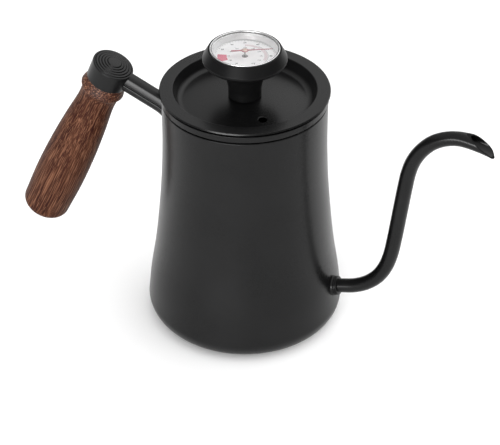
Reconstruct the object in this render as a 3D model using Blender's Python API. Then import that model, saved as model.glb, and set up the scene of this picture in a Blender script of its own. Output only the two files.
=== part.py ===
"""Gooseneck pour-over kettle with a dial thermometer in the knob of its lift-off lid.

Lengths are written in millimetres and become metres in metre(). The origin is the centre of the
flat base, +Z is up, the spout points along +X and the handle hangs on the -X side.
"""
import math

import bmesh
import bpy
from mathutils import Matrix, Vector

# Driving dimensions
GAP = 0.3                      # air left between pieces that touch on the real kettle
SHEET = 1.0                    # thickness of the drawn steel body

BASE_FLAT_R = 38.2             # flat ring that the kettle stands on
BASE_R = 46.5                  # widest radius of the body, just above the base corner
BASE_CORNER_Z = 8.8            # height of the rounded base corner
BODY_WALL = [(46.5, 8.8), (45.1, 21.5), (42.4, 38.5), (40.35, 56.6), (38.8, 74.6),
             (37.9, 93.7), (37.7, 115.0)]   # (radius, height) of the flared outer wall
BODY_TOP_Z = 116.0
BODY_TOP_R = BODY_WALL[-1][0]
FLOOR_Z = 2.2                  # inner floor
BASE_PLATE_R = 36.0
BASE_PLATE_T = 0.9

MOUTH_RING_R = 38.0
MOUTH_RING_TOP = 120.9
MOUTH_SPIGOT_R = 36.4
MOUTH_BORE_R = 35.9
MOUTH_SPIGOT_Z = 111.5

LID_R = 38.8
LID_EDGE_Z = 121.2             # underside of the lid's flange
LID_SHEET = 0.7
LID_TOP_Z = LID_EDGE_Z + LID_SHEET
DISH_R = 32.6                  # top edge of the dish in the lid
DISH_FLOOR = [(9.0, 118.0), (16.0, 117.6), (23.0, 116.9)]   # (radius, height) of the domed floor
DISH_FLOOR_R, DISH_EDGE_Z = 30.4, 116.0                     # foot of the dish's wall
KNOB_SEAT_Z = DISH_FLOOR[0][1]
SKIRT_R = 34.2
SKIRT_T = 0.6
SKIRT_BOTTOM_Z = 108.0
SEAL_R = 35.6
VENT_X, VENT_Y, VENT_R = 13.9, -15.2, 2.3

KNOB_TOP_Z = 142.2
KNOB_LIP_R = 16.5
KNOB_MAX_R = 19.0
KNOB_MAX_Z = 137.7
KNOB_STEM_R = 7.5
KNOB_UNDERSIDE = [(7.5, 122.5), (8.2, 126.0), (8.9, 129.0), (10.3, 131.4), (12.9, 133.2),
                  (16.0, 134.6), (18.3, 135.8)]   # (radius, height) from the stem to the rim
KNOB_CUP_R = 16.0              # recess for the thermometer case
KNOB_CUP_Z = 135.7
KNOB_BORE_R = 3.2
WASHER_R = 8.0
NUT_R, NUT_HEIGHT = 5.2, 3.2   # across the corners of the hexagonal nut, halved

OVERALL_HEIGHT = 142.5
CASE_R = 15.7
CASE_BORE_R = 15.2
CASE_SHEET = 0.5
CASE_STUB_R = 2.9
CASE_STUB_BORE_R = 2.5
CASE_STUB_Z = 107.5
DIAL_R = 14.9
DIAL_TOP_Z = 138.1
SPACER_TOP_Z = 141.4
NEEDLE_Z = 141.15
NEEDLE_AZIMUTH = 26.0          # degrees from +X at rest
NEEDLE_LENGTH, NEEDLE_TAIL = 12.4, 6.2
LENS_R = 14.9
PROBE_R = 2.2
PROBE_BORE_R = 1.8
PROBE_TIP_Z = 32.0
COIL_BOTTOM_Z, COIL_TOP_Z, COIL_TURNS = 36.0, 54.0, 6

SPOUT_R = 3.3
SPOUT_BORE_R = 2.7
SPOUT_PATH = [(42.6, 20.6), (49.1, 22.3), (55.0, 23.9), (60.8, 27.0), (66.0, 32.0), (69.6, 38.5),
              (71.8, 46.0), (73.2, 55.2), (75.0, 71.0), (76.6, 85.0), (77.8, 93.6), (79.6, 100.2),
              (83.1, 106.8), (88.2, 112.3), (93.6, 115.3), (98.9, 116.6), (104.2, 116.5),
              (109.6, 115.2), (118.5, 112.0)]   # (x, z) of the centreline, root to tip
SPOUT_MOUTH = ((103.7, 119.9), (115.4, 110.3))   # the slanted mouth's top and lip, (x, z)
COLLAR_X, COLLAR_Z = 45.4, 21.3
COLLAR_TILT = 15.0             # degrees that the spout's root rises
COLLAR_R = 4.8

HANDLE_TOP_X, HANDLE_TOP_Z = -64.3, 121.0
HANDLE_TILT = 25.0             # degrees between the grip's axis and the vertical
BOSS_R = 9.9
BOSS_FOOT_R = 9.5
BOSS_LENGTH = 9.6
BOSS_STEPS, BOSS_STEP_RISE = 4, 0.35
ARM_TOP, ARM_BOTTOM = -0.5, -9.4   # heights of the arm beside the boss
ARM_HALF_SECTION = [(0.0, -0.5), (1.9, -0.8), (3.2, -2.0), (3.7, -3.8), (2.9, -4.7), (3.4, -5.6),
                    (3.3, -6.6), (2.6, -7.3), (2.9, -8.2), (1.9, -9.4)]   # (side, height)
GRIP_TOP, GRIP_ARRIS, GRIP_END = -9.9, -14.5, -98.5
GRIP_ARRIS_R = 10.45
GRIP_WAIST = [(9.3, -17.0), (8.85, -22.0), (10.4, -39.5), (11.5, -55.7), (11.95, -75.0),
              (11.4, -94.0)]   # (radius, height) along the turned grip
BOLT_R = 2.5
BOLT_HOLE_R = 2.8
BOLT_HEAD_R = 4.5
COUNTERBORE_R = 5.6
COUNTERBORE_Z = -90.0

BODY_SEGMENTS = 40
FINE_SEGMENTS = 24
DIAL_SEGMENTS = 32
SMALL_SEGMENTS = 12


# ---------------------------------------------------------------- outlines

def arc(center, start, end, steps):
    """Points of an ellipse quarter between two axis-aligned ends, start and end included."""
    cx, cy = center
    a0 = math.atan2(start[1] - cy, start[0] - cx)
    horizontal = abs(math.cos(a0)) > 0.5
    rx = abs((start if horizontal else end)[0] - cx)
    ry = abs((end if horizontal else start)[1] - cy)
    a1 = math.atan2(end[1] - cy, end[0] - cx)
    turn = (a1 - a0 + math.pi) % (2 * math.pi) - math.pi
    angles = [a0 + turn * i / steps for i in range(steps + 1)]
    return [(cx + rx * math.cos(a), cy + ry * math.sin(a)) for a in angles]


def rounded(corners, steps=3):
    """A closed outline whose corners (x, y, radius) are rounded by arcs; radius 0 stays sharp."""
    outline = []
    count = len(corners)
    for i, corner in enumerate(corners):
        here = Vector(corner[:2])
        radius = corner[2] if len(corner) > 2 else 0.0
        if radius == 0.0:
            outline.append(tuple(here))
            continue
        to_last = (Vector(corners[i - 1][:2]) - here).normalized()
        to_next = (Vector(corners[(i + 1) % count][:2]) - here).normalized()
        half = to_last.angle(to_next) / 2
        reach = radius / math.tan(half)
        center = here + (to_last + to_next).normalized() * (radius / math.sin(half))
        a = here + to_last * reach - center
        b = here + to_next * reach - center
        swing = a.angle_signed(b)
        for k in range(steps + 1):
            angle = -swing * k / steps
            outline.append(tuple(center + Matrix.Rotation(angle, 2) @ a))
    return outline


def smooth_curve(knots, per_span):
    """Points on a centripetal Catmull-Rom curve through the knots."""
    points = [Vector(k) for k in knots]
    ends = [2 * points[0] - points[1]] + points + [2 * points[-1] - points[-2]]
    curve = []
    for p0, p1, p2, p3 in zip(ends, ends[1:], ends[2:], ends[3:]):
        t1 = math.sqrt((p1 - p0).length)
        t2 = t1 + math.sqrt((p2 - p1).length)
        t3 = t2 + math.sqrt((p3 - p2).length)
        for k in range(per_span):
            t = t1 + (t2 - t1) * k / per_span
            a1 = p0.lerp(p1, t / t1)
            a2 = p1.lerp(p2, (t - t1) / (t2 - t1))
            a3 = p2.lerp(p3, (t - t2) / (t3 - t2))
            b1 = a1.lerp(a2, t / t2)
            b2 = a2.lerp(a3, (t - t1) / (t3 - t1))
            curve.append(tuple(b1.lerp(b2, (t - t1) / (t2 - t1))))
    curve.append(tuple(points[-1]))
    return curve


# ---------------------------------------------------------------- materials

def material(name, color, roughness, metallic=0.0, alpha=1.0):
    found = bpy.data.materials.get(name)
    if found:
        return found
    made = bpy.data.materials.new(name)
    made.use_nodes = True
    shader = made.node_tree.nodes["Principled BSDF"]
    shader.inputs["Base Color"].default_value = (*color, 1.0)
    shader.inputs["Roughness"].default_value = roughness
    shader.inputs["Metallic"].default_value = metallic
    shader.inputs["Alpha"].default_value = alpha
    return made


def black_coat():
    return material("black_coat", (0.03, 0.03, 0.031), 0.5, 0.2)


def knob_plastic():
    return material("knob_plastic", (0.015, 0.015, 0.016), 0.45)


def bare_steel():
    return material("bare_steel", (0.62, 0.62, 0.61), 0.3, 1.0)


def polished_steel():
    return material("polished_steel", (0.8, 0.8, 0.8), 0.15, 1.0)


def dark_wood():
    return material("dark_wood", (0.13, 0.05, 0.03), 0.5)


def dial_white():
    return material("dial_white", (0.86, 0.86, 0.86), 0.5)


def needle_red():
    return material("needle_red", (0.6, 0.06, 0.1), 0.4)


def clear_glass():
    return material("clear_glass", (0.95, 0.97, 0.97), 0.05, 0.0, 0.25)


def seal_rubber():
    return material("seal_rubber", (0.35, 0.35, 0.36), 0.7)


def bimetal():
    return material("bimetal", (0.7, 0.5, 0.25), 0.35, 1.0)


# ---------------------------------------------------------------- solids

def metre(points):
    """A point or a list of points in millimetres, as metres."""
    return [Vector(p) * 0.001 for p in points]


def add_object(name, bm, finish, matrix=None):
    bmesh.ops.recalc_face_normals(bm, faces=bm.faces)
    mesh = bpy.data.meshes.new(name)
    bm.to_mesh(mesh)
    bm.free()
    mesh.materials.append(finish)
    mesh.shade_smooth()
    mesh.set_sharp_from_angle(angle=math.radians(35))
    obj = bpy.data.objects.new(name, mesh)
    bpy.context.collection.objects.link(obj)
    if matrix is not None:
        obj.matrix_world = matrix
    return obj


def turned(name, outline, segments, finish, matrix=None):
    """Spin a closed (radius, height) outline once round the local Z axis."""
    bm = bmesh.new()
    verts = [bm.verts.new(p) for p in metre([(r, 0.0, z) for r, z in outline])]
    edges = []
    for a, b in zip(verts, verts[1:] + verts[:1]):
        if a.co.x > 1e-7 or b.co.x > 1e-7:
            edges.append(bm.edges.new((a, b)))
    bmesh.ops.spin(bm, geom=verts + edges, cent=(0, 0, 0), axis=(0, 0, 1),
                   angle=2 * math.pi, steps=segments, use_merge=True)
    bmesh.ops.remove_doubles(bm, verts=bm.verts, dist=1e-6)
    return add_object(name, bm, finish, matrix)


def swept(name, rings, finish, matrix=None):
    """Skin equal closed rings of 3D points in order, and cap the two ends."""
    bm = bmesh.new()
    rows = [[bm.verts.new(p) for p in metre(ring)] for ring in rings]
    for a, b in zip(rows, rows[1:]):
        for i in range(len(a)):
            j = (i + 1) % len(a)
            bm.faces.new((a[i], a[j], b[j], b[i]))
    bm.faces.new(rows[0][::-1])
    bm.faces.new(rows[-1])
    return add_object(name, bm, finish, matrix)


def cut(target, cutter):
    """Take the cutter's volume out of the target and hide the cutter."""
    cutter.hide_render = True
    cutter.display_type = "WIRE"
    modifier = target.modifiers.new("cut_" + cutter.name, "BOOLEAN")
    modifier.object = cutter
    modifier.operation = "DIFFERENCE"
    modifier.solver = "EXACT"


def at(x, z, tilt_degrees=0.0, y=0.0):
    """Local Z tilted about the world Y axis, at a place given in millimetres."""
    turn = Matrix.Rotation(math.radians(tilt_degrees), 4, "Y")
    return Matrix.Translation(Vector((x, y, z)) * 0.001) @ turn


def handle_frame():
    """Local Z runs up the grip's axis, and local X along the arm towards the body."""
    return at(HANDLE_TOP_X, HANDLE_TOP_Z, HANDLE_TILT)


def spout_root_frame():
    """Local Z runs along the spout's root, away from the body."""
    return at(COLLAR_X, COLLAR_Z, 90.0 - COLLAR_TILT)


# ---------------------------------------------------------------- kettle body

def outer_wall():
    corner = arc((BASE_FLAT_R, BASE_CORNER_Z), (BASE_FLAT_R, 0.0), (BASE_R, BASE_CORNER_Z), 4)
    return corner[:-1] + smooth_curve(BODY_WALL, 2)


def inner_wall():
    inside = (BASE_R - SHEET, BASE_CORNER_Z)
    corner = arc((BASE_FLAT_R, BASE_CORNER_Z), inside, (BASE_FLAT_R, FLOOR_Z), 3)
    wall = [(r - SHEET, z) for r, z in BODY_WALL]
    return wall[::-1] + corner[1:]


def body_clearance():
    """The body's outside grown by the gap, for shaping what sits against it."""
    outline = [(0.0, -5.0)] + [(r + GAP, z) for r, z in outer_wall()] + [(0.0, BODY_TOP_Z)]
    return turned("body_clearance", outline, BODY_SEGMENTS, black_coat())


def make_body_shell():
    recess_r = BASE_PLATE_R + GAP
    recess_z = BASE_PLATE_T + GAP
    outline = [(0.0, recess_z), (recess_r, recess_z), (recess_r, 0.0)]
    outline += outer_wall() + [(BODY_TOP_R, BODY_TOP_Z), (BODY_TOP_R - SHEET, BODY_TOP_Z)]
    outline += inner_wall() + [(0.0, FLOOR_Z)]
    shell = turned("body_shell", outline, BODY_SEGMENTS, black_coat())
    hole_r = SPOUT_R + GAP
    hole = turned("spout_hole_cutter", [(0, -9), (hole_r, -9), (hole_r, 9), (0, 9)],
                  SMALL_SEGMENTS, black_coat(), spout_root_frame())
    cut(shell, hole)


def make_base_plate():
    outline = rounded([(0, 0), (BASE_PLATE_R, 0, 0.3), (BASE_PLATE_R, BASE_PLATE_T),
                       (0, BASE_PLATE_T)], 1)
    turned("base_plate", outline, BODY_SEGMENTS, bare_steel())


def make_mouth_ring():
    seat = BODY_TOP_Z + GAP
    outline = rounded([(MOUTH_RING_R, seat, 0.5), (MOUTH_RING_R, MOUTH_RING_TOP, 0.5),
                       (MOUTH_BORE_R, MOUTH_RING_TOP, 0.5), (MOUTH_BORE_R, MOUTH_SPIGOT_Z),
                       (MOUTH_SPIGOT_R, MOUTH_SPIGOT_Z), (MOUTH_SPIGOT_R, seat)], 1)
    turned("mouth_ring", outline, BODY_SEGMENTS, black_coat())


# ---------------------------------------------------------------- spout

def spout_rings(radius, stations):
    """Rings of points square to the centreline, which lies in the XZ plane."""
    rings = []
    for i, (x, z) in enumerate(stations):
        before = Vector(stations[max(i - 1, 0)])
        after = Vector(stations[min(i + 1, len(stations) - 1)])
        along = (after - before).normalized()
        side = Vector((-along.y, along.x))
        ring = []
        for k in range(SMALL_SEGMENTS):
            angle = 2 * math.pi * k / SMALL_SEGMENTS
            out = side * (radius * math.cos(angle))
            ring.append((x + out.x, radius * math.sin(angle), z + out.y))
        rings.append(ring)
    return rings


def make_spout_tube():
    stations = smooth_curve(SPOUT_PATH, 2)
    outer = spout_rings(SPOUT_R, stations)
    inner = spout_rings(SPOUT_BORE_R, stations)
    bm = bmesh.new()
    rows = [[bm.verts.new(p) for p in metre(ring)] for ring in outer + inner[::-1]]
    for a, b in zip(rows, rows[1:] + rows[:1]):
        for i in range(SMALL_SEGMENTS):
            j = (i + 1) % SMALL_SEGMENTS
            bm.faces.new((a[i], a[j], b[j], b[i]))
    tube = add_object("spout_tube", bm, black_coat())
    (top_x, top_z), (lip_x, lip_z) = SPOUT_MOUTH
    slope = math.degrees(math.atan2(top_z - lip_z, lip_x - top_x))
    knife = bmesh.new()
    bmesh.ops.create_cube(knife, size=0.04, matrix=Matrix.Translation((0, 0, 0.02)))
    middle = at((top_x + lip_x) / 2, (top_z + lip_z) / 2, slope)
    cut(tube, add_object("spout_mouth_cutter", knife, black_coat(), middle))


def make_spout_collar(clearance):
    bore = SPOUT_R + GAP
    outline = [(bore, -3.0), (COLLAR_R, -3.0), (COLLAR_R, 1.0), (4.3, 1.4), (4.7, 1.9),
               (4.7, 2.6), (4.4, 3.1), (bore, 3.1)]
    collar = turned("spout_collar", outline, FINE_SEGMENTS, black_coat(), spout_root_frame())
    cut(collar, clearance)


# ---------------------------------------------------------------- handle

def make_handle_boss():
    top = []
    radius = BOSS_R
    height = 0.0
    for _ in range(BOSS_STEPS):
        top.append((radius, height))
        radius -= 1.55
        top.append((radius, height))
        height += BOSS_STEP_RISE
    top += [(radius, height), (0.0, height)]
    outline = [(0.0, -3.0), (BOLT_HOLE_R, -3.0), (BOLT_HOLE_R, -BOSS_LENGTH),
               (BOSS_FOOT_R, -BOSS_LENGTH)] + top
    turned("handle_boss", outline, FINE_SEGMENTS, black_coat(), handle_frame())


def arm_section():
    """The arm's closed outline in its own (side, height) plane: a bar above two slimmer ridges."""
    middle = (ARM_TOP + ARM_BOTTOM) / 2
    outline = ARM_HALF_SECTION + [(-y, z) for y, z in reversed(ARM_HALF_SECTION[1:])]
    return [(y, z - middle) for y, z in outline], middle


def make_handle_arm(clearance):
    section, middle = arm_section()
    stations = [(5.0, 1.0), (12.0, 1.0), (20.0, 0.97), (27.0, 1.0), (30.0, 1.08), (33.0, 1.3),
                (40.0, 1.8)]   # (distance from the boss axis, growth of the section)
    rings = [[(x, y * grow, middle + z * grow) for y, z in section] for x, grow in stations]
    arm = swept("handle_arm", rings, black_coat(), handle_frame())
    boss_r = BOSS_R + GAP
    around_boss = turned("boss_clearance", [(0, -20), (boss_r, -20), (boss_r, 10), (0, 10)],
                         FINE_SEGMENTS, black_coat(), handle_frame())
    cut(arm, around_boss)
    cut(arm, clearance)


def make_grip():
    end_r, end_z = GRIP_WAIST[-1]
    flat_r = COUNTERBORE_R + 0.8
    tail = arc((flat_r, end_z), (end_r, end_z), (flat_r, GRIP_END), 4)
    outline = [(BOLT_HOLE_R, GRIP_TOP), (BOSS_FOOT_R, GRIP_TOP), (GRIP_ARRIS_R, GRIP_ARRIS)]
    outline += smooth_curve(GRIP_WAIST, 2)[:-1] + tail
    outline += [(COUNTERBORE_R, GRIP_END), (COUNTERBORE_R, COUNTERBORE_Z),
                (BOLT_HOLE_R, COUNTERBORE_Z)]
    turned("grip", outline, FINE_SEGMENTS, dark_wood(), handle_frame())


def make_grip_bolt():
    washer_top = COUNTERBORE_Z - GAP
    washer = [(BOLT_HOLE_R, washer_top), (COUNTERBORE_R - 0.4, washer_top),
              (COUNTERBORE_R - 0.4, washer_top - 1.0), (BOLT_HOLE_R, washer_top - 1.0)]
    turned("grip_washer", washer, SMALL_SEGMENTS, bare_steel(), handle_frame())
    head_top = washer_top - 1.0 - GAP
    head_end = head_top - 4.0
    socket_r = 2.2
    bolt = [(0.0, -3.3), (BOLT_R, -3.3), (BOLT_R, head_top), (BOLT_HEAD_R, head_top),
            (BOLT_HEAD_R, head_end), (socket_r, head_end), (socket_r, head_end + 2.5),
            (0.0, head_end + 2.5)]
    turned("grip_bolt", bolt, SMALL_SEGMENTS, bare_steel(), handle_frame())


# ---------------------------------------------------------------- lid

def make_lid_pan():
    floor = [(KNOB_BORE_R, KNOB_SEAT_Z)] + DISH_FLOOR
    under = [(r, z - LID_SHEET) for r, z in reversed(floor)]
    outline = rounded(floor + [(DISH_FLOOR_R, DISH_EDGE_Z, 1.6), (DISH_R, LID_TOP_Z, 0.7),
                               (LID_R, LID_TOP_Z, 0.3), (LID_R, LID_EDGE_Z, 0.3),
                               (DISH_R + LID_SHEET, LID_EDGE_Z),
                               (DISH_FLOOR_R + LID_SHEET, DISH_EDGE_Z - LID_SHEET, 2.0)] + under, 2)
    pan = turned("lid_pan", outline, BODY_SEGMENTS, black_coat())
    vent = turned("vent_cutter", [(0, -8), (VENT_R, -8), (VENT_R, 8), (0, 8)], 12,
                  black_coat(), at(VENT_X, KNOB_SEAT_Z, 0.0, VENT_Y))
    cut(pan, vent)


def make_lid_skirt():
    inner = SKIRT_R - SKIRT_T
    outline = [(SKIRT_R, LID_EDGE_Z - GAP), (inner, LID_EDGE_Z - GAP), (inner, SKIRT_BOTTOM_Z),
               (SKIRT_R + 0.7, SKIRT_BOTTOM_Z), (SKIRT_R + 0.7, SKIRT_BOTTOM_Z + 0.8),
               (SKIRT_R, SKIRT_BOTTOM_Z + 1.4)]
    turned("lid_skirt", outline, BODY_SEGMENTS, bare_steel())


def make_lid_seal():
    inner = SKIRT_R + GAP
    root = inner + 0.6
    outline = [(inner, 111.0), (root, 111.0), (SEAL_R, 112.2), (root, 113.0), (SEAL_R, 114.2),
               (root, 115.0), (inner, 115.0)]
    turned("lid_seal", outline, BODY_SEGMENTS, seal_rubber())


def make_knob():
    foot = KNOB_SEAT_Z + GAP
    outline = rounded([(KNOB_BORE_R, foot), (KNOB_STEM_R, foot, 0.3)] + KNOB_UNDERSIDE
                      + [(KNOB_MAX_R, KNOB_MAX_Z - 1.0), (KNOB_MAX_R, KNOB_MAX_Z, 0.6),
                         (KNOB_LIP_R, KNOB_TOP_Z), (KNOB_CUP_R, KNOB_TOP_Z),
                         (KNOB_CUP_R, KNOB_CUP_Z), (KNOB_BORE_R, KNOB_CUP_Z)], 2)
    turned("knob", outline, DIAL_SEGMENTS, knob_plastic())


def make_knob_fixings():
    washer_top = KNOB_SEAT_Z - LID_SHEET - GAP
    washer_bottom = washer_top - 1.0
    washer = [(KNOB_BORE_R, washer_top), (WASHER_R, washer_top), (WASHER_R, washer_bottom),
              (KNOB_BORE_R, washer_bottom)]
    turned("knob_washer", washer, FINE_SEGMENTS, seal_rubber())
    nut_top = washer_bottom - GAP
    corners = [2 * math.pi * k / 6 for k in range(6)]
    hexagon = [(NUT_R * math.cos(a), NUT_R * math.sin(a)) for a in corners]
    rings = [[(x, y, z) for x, y in hexagon] for z in (nut_top - NUT_HEIGHT, nut_top)]
    nut = swept("knob_nut", rings, bare_steel())
    bore = [(0, nut_top - 9), (KNOB_BORE_R, nut_top - 9), (KNOB_BORE_R, nut_top + 9),
            (0, nut_top + 9)]
    cut(nut, turned("nut_bore_cutter", bore, FINE_SEGMENTS, bare_steel()))


# ---------------------------------------------------------------- thermometer

def make_thermometer_case():
    outside_floor = KNOB_CUP_Z + GAP
    inside_floor = outside_floor + CASE_SHEET
    ledge = DIAL_TOP_Z - 0.9
    rim = OVERALL_HEIGHT - 1.3
    outline = [(CASE_STUB_BORE_R, inside_floor), (13.5, inside_floor), (13.5, ledge),
               (CASE_BORE_R, ledge), (CASE_BORE_R, rim), (CASE_R, rim), (CASE_R, outside_floor),
               (CASE_STUB_R, outside_floor), (CASE_STUB_R, CASE_STUB_Z),
               (CASE_STUB_BORE_R, CASE_STUB_Z)]
    turned("thermometer_case", outline, DIAL_SEGMENTS, bare_steel())


def make_bezel_ring():
    outline = rounded([(CASE_R, OVERALL_HEIGHT - 1.0), (CASE_R, OVERALL_HEIGHT, 0.2),
                       (CASE_BORE_R, OVERALL_HEIGHT, 0.2), (CASE_BORE_R, OVERALL_HEIGHT - 1.0)], 1)
    turned("bezel_ring", outline, DIAL_SEGMENTS, polished_steel())


def make_spacer_ring():
    bottom = DIAL_TOP_Z + GAP
    outline = [(13.9, bottom), (14.6, SPACER_TOP_Z), (14.9, SPACER_TOP_Z), (14.9, bottom)]
    turned("spacer_ring", outline, DIAL_SEGMENTS, polished_steel())


def make_dial():
    bottom = DIAL_TOP_Z - 0.6
    outline = [(0.9, DIAL_TOP_Z), (0.9, bottom), (DIAL_R, bottom), (DIAL_R, DIAL_TOP_Z)]
    turned("dial_plate", outline, DIAL_SEGMENTS, dial_white())


def make_lens():
    bottom = OVERALL_HEIGHT - 0.8
    top = OVERALL_HEIGHT - 0.3
    turned("dial_lens", [(0, bottom), (LENS_R, bottom), (LENS_R, top), (0, top)],
           DIAL_SEGMENTS, clear_glass())


def make_pointer():
    hub_r = 1.3
    hub_bottom = NEEDLE_Z - 0.65
    hub_top = NEEDLE_Z + 0.2
    thickness = 0.2
    half_tail, half_tip, half_root = 0.45, 0.12, 0.35
    turn = Matrix.Rotation(math.radians(NEEDLE_AZIMUTH), 4, "Z")
    blade = [(hub_r + GAP, -half_root), (NEEDLE_LENGTH, -half_tip), (NEEDLE_LENGTH, half_tip),
             (hub_r + GAP, half_root)]
    counterweight = [(-NEEDLE_TAIL, -half_tail), (-hub_r - GAP, -half_root),
                     (-hub_r - GAP, half_root), (-NEEDLE_TAIL, half_tail)]
    ring = [(hub_r + GAP + 0.5, NEEDLE_Z - thickness), (hub_r + GAP + 0.5, NEEDLE_Z),
            (hub_r + GAP, NEEDLE_Z), (hub_r + GAP, NEEDLE_Z - thickness)]
    eye = turned("needle", ring, SMALL_SEGMENTS, needle_red(), turn)
    for label, plan in (("needle_blade", blade), ("needle_tail", counterweight)):
        rings = [[(x, y, z) for x, y in plan] for z in (NEEDLE_Z - thickness, NEEDLE_Z)]
        piece = swept(label, rings, needle_red(), turn)
        piece.hide_render = True
        piece.display_type = "WIRE"
        union = eye.modifiers.new(label, "BOOLEAN")
        union.object = piece
        union.operation = "UNION"
        union.solver = "EXACT"
    turned("needle_hub", [(0, hub_bottom), (hub_r, hub_bottom), (hub_r, hub_top), (0, hub_top)],
           SMALL_SEGMENTS, polished_steel())
    shaft_top = hub_bottom - GAP
    shaft_bottom = COIL_TOP_Z + 0.6
    turned("needle_shaft", [(0, shaft_bottom), (0.4, shaft_bottom), (0.4, shaft_top),
                            (0, shaft_top)], 8, bare_steel())


def make_probe():
    flange = KNOB_CUP_Z + GAP + CASE_SHEET + GAP
    top = flange + 0.3
    outline = [(PROBE_BORE_R, top), (PROBE_BORE_R, PROBE_TIP_Z + 1.0),
               (0.0, PROBE_TIP_Z + 1.0), (0.0, PROBE_TIP_Z), (PROBE_R - 0.8, PROBE_TIP_Z),
               (PROBE_R, PROBE_TIP_Z + 0.8), (PROBE_R, flange), (PROBE_R + 1.2, flange),
               (PROBE_R + 1.2, top)]
    turned("probe_tube", outline, SMALL_SEGMENTS, polished_steel())


def make_bimetal_coil():
    radius = 1.2
    half_thick = 0.12
    half_tall = 0.6
    steps_per_turn = 10
    count = COIL_TURNS * steps_per_turn
    rise = COIL_TOP_Z - COIL_BOTTOM_Z - 2 * half_tall
    rings = []
    for i in range(count + 1):
        angle = 2 * math.pi * i / steps_per_turn
        z = COIL_BOTTOM_Z + half_tall + rise * i / count
        section = [(radius - half_thick, z - half_tall), (radius + half_thick, z - half_tall),
                   (radius + half_thick, z + half_tall), (radius - half_thick, z + half_tall)]
        rings.append([(r * math.cos(angle), r * math.sin(angle), h) for r, h in section])
    swept("bimetal_coil", rings, bimetal())


def main():
    for old in list(bpy.data.objects):
        bpy.data.objects.remove(old)
    clearance = body_clearance()
    make_body_shell()
    make_base_plate()
    make_mouth_ring()
    make_spout_tube()
    make_spout_collar(clearance)
    make_handle_boss()
    make_handle_arm(clearance)
    make_grip()
    make_grip_bolt()
    make_lid_pan()
    make_lid_skirt()
    make_lid_seal()
    make_knob()
    make_knob_fixings()
    make_thermometer_case()
    make_bezel_ring()
    make_spacer_ring()
    make_dial()
    make_lens()
    make_pointer()
    make_probe()
    make_bimetal_coil()


main()
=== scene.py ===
"""Looks of the gooseneck kettle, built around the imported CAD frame.

Lengths in the helpers are millimetres, in the frame's own axes: +Z up, the spout towards +X.
"""
import math

import bmesh
import bpy
from mathutils import Matrix, Vector


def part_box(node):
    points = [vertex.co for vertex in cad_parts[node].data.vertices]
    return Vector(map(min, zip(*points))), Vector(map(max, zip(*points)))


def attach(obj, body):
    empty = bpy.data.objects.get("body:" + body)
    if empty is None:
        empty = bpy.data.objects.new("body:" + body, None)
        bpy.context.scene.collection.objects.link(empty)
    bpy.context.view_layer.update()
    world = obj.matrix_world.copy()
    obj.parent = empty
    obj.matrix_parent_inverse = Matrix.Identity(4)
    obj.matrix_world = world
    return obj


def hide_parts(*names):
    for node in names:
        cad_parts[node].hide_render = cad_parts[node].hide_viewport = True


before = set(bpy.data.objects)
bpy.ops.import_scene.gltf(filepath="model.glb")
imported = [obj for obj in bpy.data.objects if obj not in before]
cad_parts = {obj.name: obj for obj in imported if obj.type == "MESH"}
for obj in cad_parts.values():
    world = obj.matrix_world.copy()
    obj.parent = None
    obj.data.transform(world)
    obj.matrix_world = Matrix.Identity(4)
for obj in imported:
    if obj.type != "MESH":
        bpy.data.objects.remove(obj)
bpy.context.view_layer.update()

MM = 0.001
FINE = 144                     # facets round the large turned pieces
MEDIUM = 96
SMALL = 48
TINY = 24
ARC_STEPS = 6                  # segments in a rounded corner, unless it says otherwise
BISECTIONS = 40
SOFT_ANGLE = 38                # edges sharper than this many degrees are drawn as edges


def extent(node):
    """(outer radius, bottom, top) of a round CAD node on the kettle's axis, in millimetres."""
    low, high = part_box(node)
    return high.x / MM, low.z / MM, high.z / MM


# Sizes that the frame gives
BODY_R, _, BODY_TOP = extent("body_shell")
PLATE_R, _, PLATE_T = extent("base_plate")
RING_R, RING_FOOT, RING_TOP = extent("mouth_ring")
LID_R, _, LID_TOP = extent("lid_pan")
SKIRT_LIP_R, SKIRT_FOOT, SKIRT_TOP = extent("lid_skirt")
SEAL_R, SEAL_FOOT, SEAL_TOP = extent("lid_seal")
KNOB_R, KNOB_FOOT, KNOB_TOP = extent("knob")
CASE_R, CASE_FOOT, CASE_TOP = extent("thermometer_case")
_, BEZEL_FOOT, BEZEL_TOP = extent("bezel_ring")
SPACER_R, SPACER_FOOT, SPACER_TOP = extent("spacer_ring")
DIAL_R, DIAL_FOOT, DIAL_TOP = extent("dial_plate")
LENS_R, LENS_FOOT, LENS_TOP = extent("dial_lens")
HUB_R, HUB_FOOT, HUB_TOP = extent("needle_hub")
SHAFT_R, SHAFT_FOOT, _ = extent("needle_shaft")
PROBE_COLLAR_R, PROBE_FOOT, PROBE_TOP = extent("probe_tube")
WASHER_R, WASHER_FOOT, WASHER_TOP = extent("knob_washer")
NUT_R, NUT_FOOT, NUT_TOP = extent("knob_nut")

# Shape of the body, repeated from the CAD
BODY_WALL = [(46.5, 8.8), (45.1, 21.5), (42.4, 38.5), (40.35, 56.6), (38.8, 74.6),
             (37.9, 93.7), (37.7, 115.0)]   # (radius, height) of the flared outer wall
BASE_FLAT_R = 38.2
BASE_CORNER_Z = 8.8
FLOOR_Z = 2.2
SHEET = 1.0
GAP = 0.3                      # air between neighbouring pieces
PLATE_GROOVES = [12.0, 22.0, 31.0]   # radii of the rings pressed into the base plate
MOUTH_BORE_R, MOUTH_SPIGOT_R = 35.9, 36.4

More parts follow.
